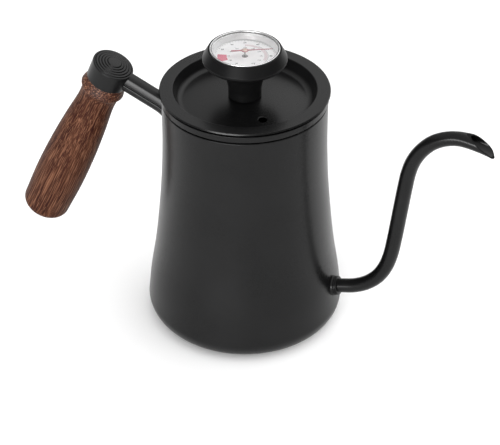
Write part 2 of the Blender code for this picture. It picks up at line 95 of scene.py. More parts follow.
# Shape of the spout and its collar
SPOUT_R = 3.3
SPOUT_BORE_R = 2.7
SPOUT_SIDES, SPOUT_STATIONS = 40, 220
SPOUT_SWELL, SWELL_END = 0.07, 0.8   # the tube is that much wider halfway up its first stretch
SPOUT_PATH = [(42.6, 20.6), (49.1, 22.3), (55.0, 23.9), (60.8, 27.0), (66.0, 32.0), (69.6, 38.5),
              (71.8, 46.0), (73.2, 55.2), (75.0, 71.0), (76.6, 85.0), (77.8, 93.6), (79.6, 100.2),
              (83.1, 106.8), (88.2, 112.3), (93.6, 115.3), (98.9, 116.6), (104.2, 116.5),
              (109.6, 115.55), (118.5, 112.9)]   # (x, z) of the centreline, root to tip
SPOUT_MOUTH = ((102.6, 119.9), (115.0, 110.8))  # the slanted mouth's top and lip, (x, z)
MOUTH_BULGE = 0.8              # how far the cut edge bows out between them
MOUTH_SPREAD, SPREAD_X = 0.22, (98.0, 108.0)   # share by which the tube widens towards it
COLLAR_X, COLLAR_Z, COLLAR_TILT = 45.4, 21.3, 15.0
COLLAR_R = 4.8
BEDDING = 0.35                 # how far the collar's foot is sunk in the wall

# Shape of the handle, in its own frame: Z up the grip's axis from the boss's top edge
HANDLE_TOP = (-64.3, 0.0, 121.0)
HANDLE_TILT = 25.0
BOSS_R, BOSS_FOOT_R, BOSS_LENGTH = 9.9, 9.5, 9.6
BOSS_STEPS, BOSS_STEP_WIDTH, BOSS_STEP_RISE = 5, 1.34, 0.30
BOSS_GROOVE, BOSS_GROOVE_DEPTH = 0.36, 0.26
ARM_MIDDLE = -4.95
ARM_SECTION = [(0.0, 0.1), (1.4, 0.0), (2.2, -0.4), (2.75, -1.05), (3.12, -1.85), (3.48, -2.8),
               (3.7, -3.65), (3.6, -4.05), (3.0, -4.35), (2.95, -4.6), (3.3, -4.85),
               (3.55, -5.35), (3.5, -5.85), (3.0, -6.15), (2.85, -6.5), (2.9, -7.0), (2.6, -7.8),
               (2.1, -8.6), (1.4, -9.2), (0.0, -9.4)]   # half, (y, z): a bar over a slim rib
FLARE_START, FLARE_LENGTH, FLARE_GROWTH = 26.5, 6.5, 0.3
ARM_SINK, ARM_STATIONS = 0.4, 48
GRIP_TOP, GRIP_END = -9.9, -98.5
GRIP_SHOULDER = [(8.95, -9.95), (9.6, -11.6), (10.2, -13.3), (10.42, -14.3)]
GRIP_NECK = [(10.45, -14.5), (10.33, -14.9), (9.75, -15.7)]
GRIP_WAIST = [(9.3, -17.0), (8.85, -22.0), (10.4, -39.5), (11.5, -55.7), (11.95, -75.0),
              (11.4, -94.0)]   # (radius, height) down the turned grip, after its neck
BOLT_HOLE_R = 2.8
COUNTERBORE_R, COUNTERBORE_Z = 5.6, -90.0
BOLT_R, BOLT_HEAD_R, BOLT_HEAD, BOLT_SOCKET = 2.5, 4.5, 4.0, 2.5
WASHER_T = 1.0

# Shape of the lid, its knob and the dial
DISH_R, DISH_FLOOR_R, DISH_EDGE_Z = 32.6, 30.4, 116.0
KNOB_BORE_R = 3.2
DISH_FLOOR = [(KNOB_BORE_R, 118.0), (9.0, 118.0), (16.0, 117.6), (23.0, 116.9), (28.0, 116.3)]
LID_EDGE, LID_SHEET = 121.2, 0.7
KNOB_UNDERSIDE = [(7.5, 120.5), (7.5, 122.5), (8.2, 126.0), (8.9, 129.0), (10.3, 131.4),
                  (12.9, 133.2), (16.0, 134.6), (18.3, 135.8)]   # (radius, height), stem to ring
KNOB_RING_FOOT, KNOB_RING_TOP = 136.7, 137.7
KNOB_LIP_R, KNOB_CUP_R, KNOB_CUP_Z = 16.5, 16.02, 135.7
CASE_BORE_R, CASE_LEDGE_R, STUB_BORE_R, STUB_R = 15.2, 13.5, 2.5, 2.9
REFLECTOR_FOOT_R, REFLECTOR_TOP_R = 13.9, 14.62
DIAL_HOLE_R = 0.9
VENT_X, VENT_Y, VENT_R = 13.9, -15.2, 2.3
VENT_Z, VENT_SLOPE = 117.14, 0.1
NEEDLE_AZIMUTH = 26.0
NEEDLE_Z = 141.15
NEEDLE_LENGTH, NEEDLE_TAIL = 12.4, 6.2
SCALE_START, DEGREES_PER_DEGREE = 260.0, -3.0   # azimuth of 0, and turn for each degree Celsius
TICK_OUTER_R, LONG_TICK_R, SHORT_TICK_R = 13.6, 12.85, 13.2
INNER_TICK_R, INNER_TICK_END_R = 8.4, 8.7
PRINT_LIFT, PRINT_T = 0.005, 0.03   # height of a printed patch over the dial, and its thickness
CELSIUS_R, CELSIUS_SIZE = 11.6, 1.35
FAHRENHEIT_R, FAHRENHEIT_SIZE = 7.3, 1.05
NUMERAL_WEIGHT = 0.03          # how much the strokes are thickened

# The camera
VIEW_AZIMUTH, VIEW_ELEVATION = 20.0, 35.96
VIEW_DISTANCE, VIEW_AIM_Z = 829.3, 47.0
LENS_MM, SHIFT_X = 125.7, 0.0102

# The studio's white room, as (low, high) brightness
SKY_RISE = (0.58, 1.27)
SKY_DARK_SIDE = (1.0, 0.15)
SKY_LEFT_RIGHT = (0.76, 1.80)
FLOOR_HALF_M, FLOOR_Z_M, LIGHT_AIM_Z_M = 12.0, -0.0003, 0.06


# ---------------- outlines

def rounded(corners, steps=ARC_STEPS):
    """A closed outline whose corners (x, y, radius) are rounded by arcs; radius 0 stays sharp."""
    outline = []
    count = len(corners)
    for i, corner in enumerate(corners):
        here = Vector(corner[:2])
        radius = corner[2] if len(corner) > 2 else 0.0
        if radius == 0.0:
            outline.append(tuple(here))
            continue
        to_last = (Vector(corners[i - 1][:2]) - here).normalized()
        to_next = (Vector(corners[(i + 1) % count][:2]) - here).normalized()
        half = to_last.angle(to_next) / 2
        reach = radius / math.tan(half)
        center = here + (to_last + to_next).normalized() * (radius / math.sin(half))
        a = here + to_last * reach - center
        b = here + to_next * reach - center
        swing = a.angle_signed(b)
        for k in range(steps + 1):
            outline.append(tuple(center + Matrix.Rotation(-swing * k / steps, 2) @ a))
    return outline


def arc(center, radii, start, end, steps):
    """Points of an ellipse from one angle to another, in degrees."""
    angles = [math.radians(start + (end - start) * i / steps) for i in range(steps + 1)]
    return [(center[0] + radii[0] * math.cos(a), center[1] + radii[1] * math.sin(a))
            for a in angles]


def smooth_curve(knots, per_span):
    """Points on a centripetal Catmull-Rom curve through the knots."""
    points = [Vector(k) for k in knots]
    ends = [2 * points[0] - points[1]] + points + [2 * points[-1] - points[-2]]
    curve = []
    for p0, p1, p2, p3 in zip(ends, ends[1:], ends[2:], ends[3:]):
        t1 = math.sqrt((p1 - p0).length)
        t2 = t1 + math.sqrt((p2 - p1).length)
        t3 = t2 + math.sqrt((p3 - p2).length)
        for k in range(per_span):
            t = t1 + (t2 - t1) * k / per_span
            a1 = p0.lerp(p1, t / t1)
            a2 = p1.lerp(p2, (t - t1) / (t2 - t1))
            a3 = p2.lerp(p3, (t - t2) / (t3 - t2))
            b1 = a1.lerp(a2, t / t2)
            b2 = a2.lerp(a3, (t - t1) / (t3 - t1))
            curve.append(tuple(b1.lerp(b2, (t - t1) / (t2 - t1))))
    curve.append(tuple(points[-1]))
    return curve


# ---------------- material nodes

class Nodes:
    """Short ways to add shader nodes to a material or a world."""

    def __init__(self, tree, coordinates):
        self.nodes, self.links = tree.nodes, tree.links
        self.place = self.nodes.new("ShaderNodeTexCoord").outputs[coordinates]

    def add(self, kind, values, output=0, **settings):
        """A node's output; its inputs get numbers, colours, vectors or other nodes' outputs."""
        node = self.nodes.new("ShaderNode" + kind)
        for name, setting in settings.items():
            setattr(node, name, setting)
        for key, value in values.items():
            socket = node.inputs[key]
            if isinstance(value, bpy.types.NodeSocket):
                self.links.new(value, socket)
            elif socket.type == "RGBA":
                socket.default_value = (*value, 1.0)
            elif value is not None:
                socket.default_value = value
        return node.outputs[output]

    def scaled(self, scale, source=None):
        return self.add("Mapping", {"Vector": source or self.place, "Scale": scale})

    def noise(self, scale, detail, roughness=0.55, vector=None):
        return self.add("TexNoise", {"Vector": vector or self.place, "Scale": scale,
                                     "Detail": detail, "Roughness": roughness}, "Fac")

    def span(self, factor, low, high, from_low=0.3, from_high=0.7, shape="LINEAR"):
        """Spread a factor out: low at from_low, high at from_high, and no further."""
        return self.add("MapRange", {"Value": factor, "From Min": from_low, "From Max": from_high,
                                     "To Min": low, "To Max": high}, interpolation_type=shape)

    def math(self, operation, a, b=None):
        return self.add("Math", {0: a, 1: b}, operation=operation)

    def mix(self, factor, a, b):
        color_a, color_b, color_out = 6, 7, 2      # sockets of a Mix node that are colours
        return self.add("Mix", {0: factor, color_a: a, color_b: b}, color_out, data_type="RGBA")

    def bump(self, height, strength, distance, under=None):
        return self.add("Bump", {"Height": height, "Strength": strength, "Distance": distance,
                                 "Normal": under})

    def ramp(self, factor, stops):
        node = self.nodes.new("ShaderNodeValToRGB")
        elements = node.color_ramp.elements
        while len(elements) < len(stops):
            elements.new(0.5)
        for element, (position, color) in zip(elements, stops):
            element.position = position
            element.color = (*color, 1.0)
        self.links.new(factor, node.inputs["Fac"])
        return node.outputs["Color"]

    def split(self):
        node = self.nodes.new("ShaderNodeSeparateXYZ")
        self.links.new(self.place, node.inputs["Vector"])
        return node.outputs["X"], node.outputs["Y"], node.outputs["Z"]

    def join(self, x, y, z):
        return self.add("CombineXYZ", {"X": x, "Y": y, "Z": z})

    def radius(self):
        """Distance from the local Z axis, in metres."""
        x, y, _ = self.split()
        squares = self.math("ADD", self.math("MULTIPLY", x, x), self.math("MULTIPLY", y, y))
        return self.math("SQRT", squares)

    def turned(self, scale):
        """Coordinates in which the marks of a turned piece run round its axis."""
        return self.join(self.math("MULTIPLY", self.radius(), scale), 0.0,
                         self.math("MULTIPLY", self.split()[2], scale))


class Recipe(Nodes):
    """A Principled material and the nodes that drive it."""

    def __init__(self, name, color, roughness, metallic=0.0):
        self.material = bpy.data.materials.new(name)
        self.material.use_nodes = True
        super().__init__(self.material.node_tree, "Object")
        self.shader = self.nodes["Principled BSDF"]
        self.set("Base Color", (*color, 1.0))
        self.set("Roughness", roughness)
        self.set("Metallic", metallic)

    def set(self, socket, value):
        self.shader.inputs[socket].default_value = value

    def drive(self, socket, output):
        self.links.new(output, self.shader.inputs[socket])


def powder_coat(name, shade, roughness, gloss):
    """Matte black coat: a fine orange-peel surface with faint clouding of colour and gloss."""
    m = Recipe(name, (shade, shade, shade * 1.03), roughness)
    m.set("Specular IOR Level", gloss)
    clouds = m.noise(38.0, 3.0, 0.5)
    grains = m.noise(2600.0, 2.0, 0.6)
    peel = m.noise(900.0, 3.0, 0.5)
    dark = (shade * 0.8, shade * 0.8, shade * 0.82)
    light = (shade * 1.25, shade * 1.25, shade * 1.3)
    tone = m.mix(m.span(clouds, 0.0, 1.0), dark, light)
    speck = m.span(grains, 0.0, 0.5, 0.62, 0.8)
    m.drive("Base Color", m.mix(speck, tone, (shade * 2.6, shade * 2.6, shade * 2.6)))
    spread = m.math("ADD", m.span(clouds, -0.03, 0.03), m.span(grains, -0.02, 0.02))
    m.drive("Roughness", m.math("ADD", spread, roughness))
    fine = m.bump(grains, 0.10, 0.00006)
    m.drive("Normal", m.bump(peel, 0.07, 0.00012, fine))
    return m.material


def steel(name, roughness, along=False):
    """Stainless steel with fine brush lines, running round the axis or along it."""
    m = Recipe(name, (0.60, 0.59, 0.575), roughness, 1.0)
    place = m.scaled((6000.0, 6000.0, 120.0)) if along else m.turned(9000.0)
    lines = m.noise(1.0, 3.0, 0.7, place)
    clouds = m.noise(60.0, 2.0)
    m.drive("Base Color", m.mix(m.span(lines, 0.0, 1.0), (0.50, 0.49, 0.475), (0.68, 0.67, 0.655)))
    spread = m.math("ADD", m.span(lines, -0.06, 0.08), m.span(clouds, -0.03, 0.03))
    m.drive("Roughness", m.math("ADD", spread, roughness))
    m.drive("Normal", m.bump(lines, 0.12, 0.00003))
    return m.material


def polished_metal(name, color, roughness):
    """Bright plated metal with faint turning marks and smudges."""
    m = Recipe(name, color, roughness, 1.0)
    marks = m.noise(1.0, 2.0, 0.6, m.turned(6000.0))
    smudges = m.noise(160.0, 3.0)
    dim = tuple(c * 0.9 for c in color)
    m.drive("Base Color", m.mix(m.span(smudges, 0.0, 1.0), dim, color))
    spread = m.math("ADD", m.span(smudges, -0.04, 0.05), m.span(marks, -0.02, 0.03))
    m.drive("Roughness", m.math("ADD", spread, roughness))
    m.drive("Normal", m.bump(marks, 0.06, 0.00002))
    return m.material


def long_grain(m):
    """Walnut figure in an object whose local Z runs along the grain: (colour, height, pores)."""
    warp = m.noise(1.0, 3.0, 0.5, m.scaled((55.0, 55.0, 12.0)))
    x, y, z = m.split()
    sway = m.span(warp, -0.0004, 0.0004)
    place = m.join(m.math("ADD", x, sway), m.math("ADD", y, sway), z)
    blotches = m.noise(1.0, 2.0, 0.5, m.scaled((150.0, 150.0, 26.0), place))
    bands = m.noise(1.0, 2.0, 0.6, m.scaled((800.0, 800.0, 9.0), place))
    lines = m.noise(1.0, 1.0, 0.5, m.scaled((2100.0, 2100.0, 16.0), place))
    dashes = m.noise(1.0, 1.0, 0.5, m.scaled((2600.0, 2600.0, 75.0), place))
    pores = m.noise(1.0, 1.0, 0.5, m.scaled((1700.0, 1700.0, 60.0), m.join(y, x, z)))
    blend = m.math("ADD", m.math("MULTIPLY", blotches, 0.35), m.math("MULTIPLY", bands, 0.65))
    tone = m.ramp(blend, [(0.38, (0.022, 0.0048, 0.0020)), (0.46, (0.032, 0.0083, 0.0037)),
                          (0.54, (0.042, 0.0124, 0.0057)), (0.62, (0.056, 0.0190, 0.0090))])
    line_mask = m.span(lines, 0.0, 0.6, 0.55, 0.62)
    tone = m.mix(line_mask, tone, (0.150, 0.064, 0.034))
    dash_mask = m.span(dashes, 0.0, 0.65, 0.56, 0.63)
    tone = m.mix(dash_mask, tone, (0.190, 0.085, 0.047))
    pore_mask = m.span(pores, 0.0, 0.6, 0.56, 0.65)
    tone = m.mix(pore_mask, tone, (0.016, 0.0035, 0.0015))
    height = m.math("SUBTRACT", m.math("MULTIPLY", dashes, 0.4), pore_mask)
    return tone, height, pore_mask


def walnut():
    m = Recipe("walnut_long_grain", (0.11, 0.042, 0.023), 0.5)
    tone, height, pores = long_grain(m)
    m.drive("Base Color", tone)
    m.drive("Roughness", m.span(pores, 0.52, 0.70, 0.0, 1.0))
    m.set("Specular IOR Level", 0.08)
    m.drive("Normal", m.bump(height, 0.5, 0.00015))
    return m.material


def walnut_end_grain():
    """The cut shoulder of the grip: open pores in dark wood, with paler specks."""
    m = Recipe("walnut_end_grain", (0.07, 0.033, 0.022), 0.6)
    m.set("Specular IOR Level", 0.25)
    patches = m.noise(1250.0, 4.0, 0.65)
    pores = m.noise(1500.0, 2.0, 0.55)
    tone = m.ramp(patches, [(0.38, (0.016, 0.0035, 0.0015)), (0.49, (0.046, 0.0130, 0.0060)),
                            (0.57, (0.115, 0.043, 0.023)), (0.68, (0.25, 0.135, 0.080))])
    holes = m.span(pores, 0.0, 0.9, 0.56, 0.64)
    m.drive("Base Color", m.mix(holes, tone, (0.020, 0.007, 0.004)))
    m.drive("Roughness", m.span(holes, 0.52, 0.72, 0.0, 1.0))
    m.drive("Normal", m.bump(m.math("SUBTRACT", patches, holes), 0.5, 0.0002))
    return m.material


def enamel(name, color, roughness=0.45):
    """Printed or sprayed colour with a barely uneven surface."""
    m = Recipe(name, color, roughness)
    clouds = m.noise(220.0, 3.0)
    dim = tuple(c * 0.94 for c in color)
    m.drive("Base Color", m.mix(m.span(clouds, 0.0, 1.0), dim, color))
    m.drive("Roughness", m.span(clouds, roughness - 0.05, roughness + 0.05))
    m.drive("Normal", m.bump(m.noise(2500.0, 2.0), 0.05, 0.00003))
    return m.material


def clear_glass():
    m = Recipe("clear_glass", (1.0, 1.0, 1.0), 0.0)
    m.set("Transmission Weight", 1.0)
    m.set("IOR", 1.45)
    m.drive("Roughness", m.span(m.noise(90.0, 2.0), 0.0, 0.02))
    return m.material


def silicone():
    m = Recipe("silicone", (0.30, 0.30, 0.31), 0.6)
    dust = m.noise(1400.0, 3.0)
    m.drive("Base Color", m.mix(m.span(dust, 0.0, 1.0), (0.25, 0.25, 0.26), (0.34, 0.34, 0.35)))
    m.drive("Roughness", m.span(dust, 0.52, 0.7))
    m.drive("Normal", m.bump(dust, 0.12, 0.00005))
    return m.material


# ---------------- solids

def add_object(name, data):
    obj = bpy.data.objects.new(name, data)
    bpy.context.scene.collection.objects.link(obj)
    return obj


def to_mesh(name, bm):
    mesh = bpy.data.meshes.new(name)
    bmesh.ops.recalc_face_normals(bm, faces=bm.faces)
    bm.to_mesh(mesh)
    bm.free()
    return mesh


def add_piece(name, bm, body, stands_for, materials, matrix=None):
    """Put a mesh in the scene as a piece of the kettle that rides on a CAD body."""
    mesh = to_mesh(name, bm)
    for material in materials:
        mesh.materials.append(material)
    mesh.shade_smooth()
    mesh.set_sharp_from_angle(angle=math.radians(SOFT_ANGLE))
    obj = add_object(name, mesh)
    if matrix is not None:
        obj.matrix_world = matrix
    weighted = obj.modifiers.new("even_normals", "WEIGHTED_NORMAL")
    weighted.keep_sharp = True
    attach(obj, body)
    if stands_for:
        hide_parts(stands_for)
    return obj


def circle(sides):
    """Angles spaced evenly round a full turn, in radians."""
    return [2 * math.pi * k / sides for k in range(sides)]


def lathe_mesh(outline, facets, split=None, shape=None):
    """Turn a closed (radius, height) outline in mm about Z. Faces past outline point split get
    material 1, and shape(angle, radius, height) may change a point's radius."""
    bm = bmesh.new()
    columns = []
    for r, z in outline:
        if r < 1e-6:
            columns.append([bm.verts.new((0.0, 0.0, z * MM))])
            continue
        column = []
        for angle in circle(facets):
            reach = (shape(angle, r, z) if shape else r) * MM
            column.append(bm.verts.new((reach * math.cos(angle), reach * math.sin(angle), z * MM)))
        columns.append(column)
    for i, column in enumerate(columns):
        after = columns[(i + 1) % len(columns)]
        if len(column) == 1 and len(after) == 1:
            continue
        for k in range(facets):
            j = (k + 1) % facets
            corners = [column[k % len(column)], column[j % len(column)],
                       after[j % len(after)], after[k % len(after)]]
            face = bm.faces.new(list(dict.fromkeys(corners)))
            if split is not None and i >= split:
                face.material_index = 1
    return bm


def turn_piece(name, outline, body, stands_for, material, facets=FINE, matrix=None):
    """A piece of one material that is turned from an outline."""
    return add_piece(name, lathe_mesh(outline, facets), body, stands_for, [material], matrix)


def skin_mesh(rings, looped=False, edge_strips=()):
    """Skin equal closed rings of 3D points in mm, in order: capped at both ends, or looped back
    to the first ring. The strips numbered in edge_strips get material 1."""
    bm = bmesh.new()
    rows = [[bm.verts.new(Vector(p) * MM) for p in ring] for ring in rings]
    following = rows[1:] + rows[:1] if looped else rows[1:]
    for i, (a, b) in enumerate(zip(rows, following)):
        for k in range(len(a)):
            j = (k + 1) % len(a)
            face = bm.faces.new((a[k], a[j], b[j], b[k]))
            face.material_index = int(i in edge_strips)
    if not looped:
        bm.faces.new(rows[0][::-1])
        bm.faces.new(rows[-1])
    return bm


def bisect(low, high, too_far):
    """The value between low and high at which too_far(value) turns true."""
    for _ in range(BISECTIONS):
        middle = (low + high) / 2
        low, high = (low, middle) if too_far(middle) else (middle, high)
    return (low + high) / 2


def hexagon_reach(angle, apothem):
    """Distance from the middle of a hexagon to its side at an angle."""
    turn = (angle + math.pi / 6) % (math.pi / 3) - math.pi / 6
    return apothem / math.cos(turn)


def at(x, z, tilt_degrees=0.0, y=0.0):
    """Local Z tilted about the world Y axis, at a place given in millimetres."""
    turn = Matrix.Rotation(math.radians(tilt_degrees), 4, "Y")
    return Matrix.Translation(Vector((x, y, z)) * MM) @ turn


def carve(obj, outline, matrix):
    """Drill obj with a turned (radius, height) outline in mm, along the matrix's local Z."""
    drill = add_object("drill", to_mesh("drill", lathe_mesh(outline, SMALL)))
    drill.matrix_world = matrix
    cut = obj.modifiers.new("hole", "BOOLEAN")
    cut.object = drill
    cut.operation = "DIFFERENCE"
    cut.solver = "EXACT"
    bpy.context.view_layer.objects.active = obj
    bpy.ops.object.modifier_move_to_index(modifier="hole", index=0)
    bpy.ops.object.modifier_apply(modifier="hole")
    bpy.data.objects.remove(drill)


# ---------------- kettle body

WALL = smooth_curve(BODY_WALL, 10)


def wall_radius(height):
    """Radius of the body's outside at a height."""
    for (r0, z0), (r1, z1) in zip(WALL, WALL[1:]):
        if z0 <= height <= z1:
            return r0 + (r1 - r0) * (height - z0) / (z1 - z0)
    return WALL[0][0] if height < WALL[0][1] else WALL[-1][0]


def make_body(coat, inside_steel):
    """The shell: coated wall, bare inside, a recess for the base plate and the spout's hole."""
    recess_r = PLATE_R + GAP
    recess_z = PLATE_T + GAP
    corner_r = BODY_R - BASE_FLAT_R
    outer = [(0.0, recess_z), (recess_r, recess_z), (recess_r, 0.25), (recess_r + 0.25, 0.0)]
    outer += arc((BASE_FLAT_R, BASE_CORNER_Z), (corner_r, BASE_CORNER_Z), -90, 0, 18)[:-1]
    outer += WALL
    lip_r = WALL[-1][0]
    lip = rounded([(lip_r, BODY_TOP, 0.4), (lip_r - SHEET, BODY_TOP, 0.4),
                   (lip_r - SHEET, BODY_TOP - 2), (lip_r, BODY_TOP - 2)])[:-2]
    inner = [(r - SHEET, z) for r, z in reversed(WALL[:-1])]
    inner += arc((BASE_FLAT_R, BASE_CORNER_Z),
                 (corner_r - SHEET, BASE_CORNER_Z - FLOOR_Z), 0, -90, 14)[1:]
    inner += [(0.0, FLOOR_Z)]
    outline = outer + lip + inner
    coat_end = len(outer) + 10     # on the inner rounding of the lip
    bm = lathe_mesh(outline, FINE, split=coat_end)
    body = add_piece("kettle_body", bm, "kettle", "body_shell",
                     [coat, inside_steel])
    hole, reach = SPOUT_R + 0.1, 9
    carve(body, [(0, -reach), (hole, -reach), (hole, reach), (0, reach)],
          at(COLLAR_X, COLLAR_Z, 90.0 - COLLAR_TILT))


def make_base_plate(material):
    """Flat disc with three shallow pressed rings on its underside."""
    depth, half_foot, half_mouth = 0.18, 0.5, 0.9
    bottom = [(0.0, 0.0)]
    for r in PLATE_GROOVES:
        bottom += [(r - half_mouth, 0.0), (r - half_foot, depth), (r + half_foot, depth),
                   (r + half_mouth, 0.0)]
    outline = bottom + rounded([(PLATE_R, 0, 0.3), (PLATE_R, PLATE_T, 0.1), (0, PLATE_T),
                                (0, 0)], 4)[:-1]
    turn_piece("base_disc", outline, "kettle", "base_plate", material)


def make_mouth_ring(coat):
    """The band that takes the lid: its top steps in, so a dark line shows under the flange."""
    foot, shoulder, step_r = BODY_TOP + GAP + 0.6, RING_TOP - 1.15, RING_R - 1.8
    outline = rounded([(RING_R, foot, 0.35), (RING_R, shoulder, 0.2), (step_r, shoulder),
                       (step_r, RING_TOP, 0.1), (MOUTH_BORE_R, RING_TOP, 0.5),
                       (MOUTH_BORE_R, RING_FOOT, 0.15), (MOUTH_SPIGOT_R, RING_FOOT, 0.15),
                       (MOUTH_SPIGOT_R, foot)])
    turn_piece("mouth_band", outline, "kettle", "mouth_ring", coat)


# ---------------- spout

def make_spout(coat, edge_coat):
    """The gooseneck: a tube whose last stretch runs out to the slanted mouth's plane."""
    line = [Vector(p) for p in smooth_curve(SPOUT_PATH, 12)]
    tangents = []
    for i in range(len(line)):
        tangents.append((line[min(i + 1, len(line) - 1)] - line[max(i - 1, 0)]).normalized())
    top, lip = (Vector(p) for p in SPOUT_MOUTH)
    normal = Vector((top.y - lip.y, lip.x - top.x)).normalized()

    def point(i, angle, radius):
        side = Vector((-tangents[i].y, tangents[i].x))
        along = min(1.0, i / (len(line) - 1) / SWELL_END)
        radius *= 1.0 + SPOUT_SWELL * math.sin(math.pi * along)
        flat = line[i] + side * (radius * math.cos(angle))
        share = min(1.0, max(0.0, (flat.x - SPREAD_X[0]) / (SPREAD_X[1] - SPREAD_X[0])))
        spread = 1.0 + MOUTH_SPREAD * share * share * (3 - 2 * share)
        return Vector((flat.x, radius * spread * math.sin(angle), flat.y))

    def beyond(p):
        """How far a point has passed the cut, which bows out between the mouth's ends."""
        along = 2 * (Vector((p.x, p.z)) - top).dot(lip - top) / (lip - top).length_squared - 1
        bulge = MOUTH_BULGE * max(0.0, 1 - along ** 4)
        return (p.x - top.x) * normal.x + (p.z - top.y) * normal.y - bulge

    def strand(angle, radius):
        """Points along the tube at one angle, spaced evenly up to the mouth's plane."""
        points = [point(i, angle, radius) for i in range(len(line))]
        lengths = [0.0]
        for a, b in zip(points, points[1:]):
            lengths.append(lengths[-1] + (b - a).length)
        stop = lengths[-1]
        for i in range(len(points) // 2, len(points) - 1):
            here, there = beyond(points[i]), beyond(points[i + 1])
            if here <= 0.0 < there:
                stop = lengths[i] + (lengths[i + 1] - lengths[i]) * here / (here - there)
                break
        found = []
        i = 0
        for k in range(SPOUT_STATIONS + 1):
            want = stop * k / SPOUT_STATIONS
            while i < len(lengths) - 2 and lengths[i + 1] < want:
                i += 1
            t = (want - lengths[i]) / (lengths[i + 1] - lengths[i])
            found.append(points[i].lerp(points[i + 1], t))
        return found

    outer = [strand(a, SPOUT_R) for a in circle(SPOUT_SIDES)]
    inner = [strand(a, SPOUT_BORE_R) for a in circle(SPOUT_SIDES)]
    rows = list(zip(*outer))
    rim_rise = Vector((normal.x, 0, normal.y)) * 0.12
    middle = [a.lerp(b, 0.5) + rim_rise for a, b in zip(rows[-1], [s[-1] for s in inner])]
    rows += [middle] + list(zip(*inner))[::-1]
    rim = len(outer[0]) - 1
    bm = skin_mesh(rows, looped=True, edge_strips=(rim, rim + 1))
    add_piece("spout", bm, "kettle", "spout_tube", [coat, edge_coat])


def make_spout_collar(coat):
    """Three fine ridges on a sleeve whose foot is bedded on the curved wall."""
    frame_matrix = at(COLLAR_X, COLLAR_Z, 90.0 - COLLAR_TILT)
    bore = SPOUT_R + 0.05
    profile = rounded([(COLLAR_R, 0.75, 0.3), (COLLAR_R - 0.45, 0.8, 0.05),
                       (COLLAR_R - 0.1, 1.0, 0.15), (COLLAR_R - 0.1, 1.55, 0.3),
                       (COLLAR_R - 0.55, 1.6, 0.05), (COLLAR_R - 0.25, 1.8, 0.15),
                       (COLLAR_R - 0.25, 2.35, 0.3), (bore + 0.2, 2.45, 0.1),
                       (bore, 2.45), (bore, 0.0), (COLLAR_R, 0.0)], 5)[:-2]
    rows = []
    for foot_r, sink in ((bore, BEDDING), (COLLAR_R + BEDDING, BEDDING), (COLLAR_R, -BEDDING)):
        rows.append([bed_on_wall(frame_matrix, foot_r * math.cos(a), foot_r * math.sin(a), sink)
                     for a in circle(SMALL)])
    for r, z in profile:
        rows.append([(r * math.cos(a), r * math.sin(a), z) for a in circle(SMALL)])
    add_piece("spout_root_collar", skin_mesh(rows, looped=True), "kettle",
              "spout_collar", [coat], frame_matrix)


def bed_on_wall(matrix, x, y, sink):
    """The local point (x, y, z) whose world place is sunk that far in the body's wall."""
    def outside(z):
        world = matrix @ (Vector((x, y, z)) * MM) / MM
        return math.hypot(world.x, world.y) > wall_radius(world.z) - sink

    return (x, y, bisect(-8.0, 8.0, outside))


# ---------------- handle

def handle_matrix():
    return at(HANDLE_TOP[0], HANDLE_TOP[2], HANDLE_TILT)


def make_boss(coat):
    """A turned drum whose top rises in fine steps, with a groove at the foot of each."""
    top = []
    radius, height = BOSS_R, 0.0
    for i in range(BOSS_STEPS):
        top.append((radius, height, 0.6 if i == 0 else 0.3))
        radius -= BOSS_STEP_WIDTH
        top += [(radius + BOSS_GROOVE, height, 0.1),
                (radius + BOSS_GROOVE * 0.35, height - BOSS_GROOVE_DEPTH)]
        height += BOSS_STEP_RISE
    top += [(radius, height, 0.3), (0.0, height)]
    outline = rounded([(0.0, -3.0), (BOLT_HOLE_R, -3.0), (BOLT_HOLE_R, -BOSS_LENGTH),
                       (BOSS_FOOT_R, -BOSS_LENGTH, 0.2)] + top, 4)
    turn_piece("grip_ferrule", outline, "kettle", "handle_boss", coat, MEDIUM,
               handle_matrix())


def arm_point(x, y, z):
    """A point of the arm's section that far along local X; the section swells at the body."""
    reach = max(0.0, (x - FLARE_START) / FLARE_LENGTH)
    grow = 1.0 + FLARE_GROWTH * reach ** 2.2
    return Vector((x, y * grow, ARM_MIDDLE + (z - ARM_MIDDLE) * grow))


def make_arm(coat):
    """The arm: a rounded bar over a slimmer rib, flaring where it is welded to the body."""
    matrix = handle_matrix()
    half = smooth_curve(ARM_SECTION, 4)
    section = half + [(-y, z) for y, z in reversed(half[1:-1])]
    ends = [bed_along_x(matrix, y, z, ARM_SINK) for y, z in section]
    overlap = 0.5                  # with the boss
    rings = []
    for s in range(ARM_STATIONS + 1):
        ring = []
        for (y, z), end in zip(section, ends):
            start = math.sqrt(BOSS_R ** 2 - y ** 2) - overlap
            ring.append(arm_point(start + (end - start) * s / ARM_STATIONS, y, z))
        rings.append(ring)
    add_piece("arm", skin_mesh(rings), "kettle", "handle_arm", [coat], matrix)


def bed_along_x(matrix, y, z, sink):
    """How far along local X the arm's point meets the body's wall, sunk that much."""
    def inside(x):
        world = matrix @ (arm_point(x, y, z) * MM) / MM
        return math.hypot(world.x, world.y) < wall_radius(world.z) - sink

    return bisect(15.0, 45.0, inside)


